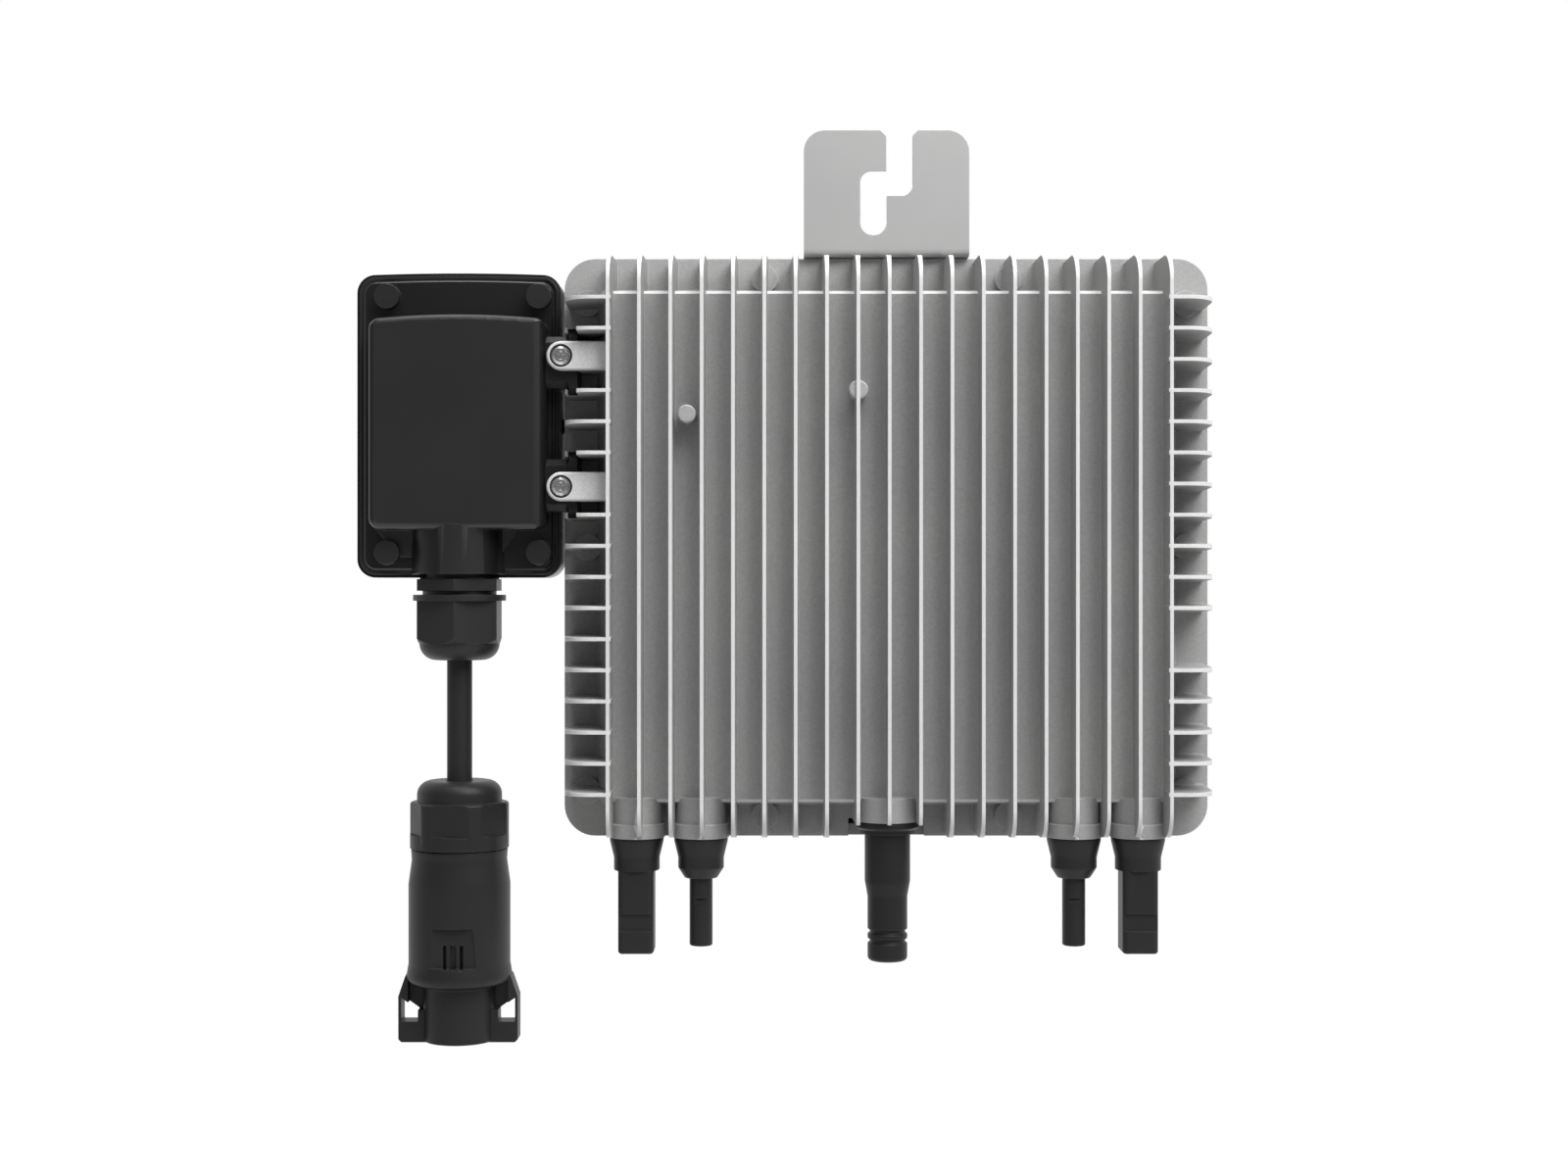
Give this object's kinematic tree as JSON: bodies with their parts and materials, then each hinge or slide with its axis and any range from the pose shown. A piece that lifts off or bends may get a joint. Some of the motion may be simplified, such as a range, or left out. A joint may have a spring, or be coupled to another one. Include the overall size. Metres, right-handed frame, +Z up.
{
  "type": "solar microinverter",
  "caption": "Finned cast solar microinverter with a hook-slot bracket, a side relay box, panel connectors, a stub antenna and a short output cord with its coupler.",
  "frame": {"origin": "middle of the hanger slot's round seat, halfway through the bracket's sheet", "axes": "+Z up with the connectors pointing down, +Y out of the back towards the rail, fins towards -Y, +X to the right seen from the fins"},
  "size_m": [0.302, 0.0443, 0.3228],
  "materials": {
    "cast_aluminium": "bead-blasted satin",
    "cover_aluminium": "satin",
    "bracket_steel": "satin",
    "screw_steel": "satin",
    "seal_rubber": "matte",
    "board": "satin",
    "ferrite": "matte",
    "capacitor_can": "satin",
    "film_case": "gloss",
    "silicone_pad": "matte",
    "moulded_black": "matte",
    "radio_can": "satin",
    "box_black": "fine grain",
    "connector_black": "satin",
    "antenna_black": "satin",
    "contact_metal": "bright",
    "relay_case": "satin",
    "terminal_grey": "satin",
    "gland_black": "satin",
    "cable_black": "matte"
  },
  "bodies": {
    "root": {"heatsink_housing": "cast_aluminium", "cover_gasket": "seal_rubber", "rear_cover": "cover_aluminium", "cover_screws": "screw_steel", "mounting_bracket": "bracket_steel", "bracket_screws": "screw_steel", "main_circuit_board": "board", "board_screws": "screw_steel", "power_transformer_left": "ferrite", "power_transformer_right": "ferrite", "film_capacitor": "film_case", "filter_choke": "ferrite", "transistor_pad": "silicone_pad", "power_transistors": "moulded_black", "radio_module": "radio_can", "dc_port_seals": "seal_rubber", "antenna_seal": "seal_rubber", "antenna_base": "antenna_black", "antenna_sleeve": "antenna_black", "antenna_radiator": "contact_metal", "relay_box_shell": "box_black", "relay_box_gasket": "seal_rubber", "relay_box_lid": "box_black", "relay_box_screws": "screw_steel", "relay_board": "board", "relay_left": "relay_case", "relay_right": "relay_case", "terminal_block": "terminal_grey", "link_sleeve": "seal_rubber", "lug_screws": "screw_steel", "ear_inserts": "contact_metal", "gland_seal_ring": "seal_rubber", "gland_body": "gland_black", "gland_insert": "seal_rubber", "gland_nut": "gland_black", "ac_cable": "cable_black", "coupler_nut": "connector_black", "coupler_bush": "seal_rubber", "coupler_shell": "connector_black", "coupler_insert": "connector_black", "coupler_contacts": "contact_metal", "storage_capacitor_1": "capacitor_can", "storage_capacitor_2": "capacitor_can", "storage_capacitor_3": "capacitor_can", "storage_capacitor_4": "capacitor_can", "dc_socket_left": "connector_black", "dc_plug_left": "connector_black", "dc_socket_pin_left": "contact_metal", "dc_plug_contact_left": "contact_metal", "dc_socket_right": "connector_black", "dc_plug_right": "connector_black", "dc_socket_pin_right": "contact_metal", "dc_plug_contact_right": "contact_metal"}
  },
  "joints": []
}
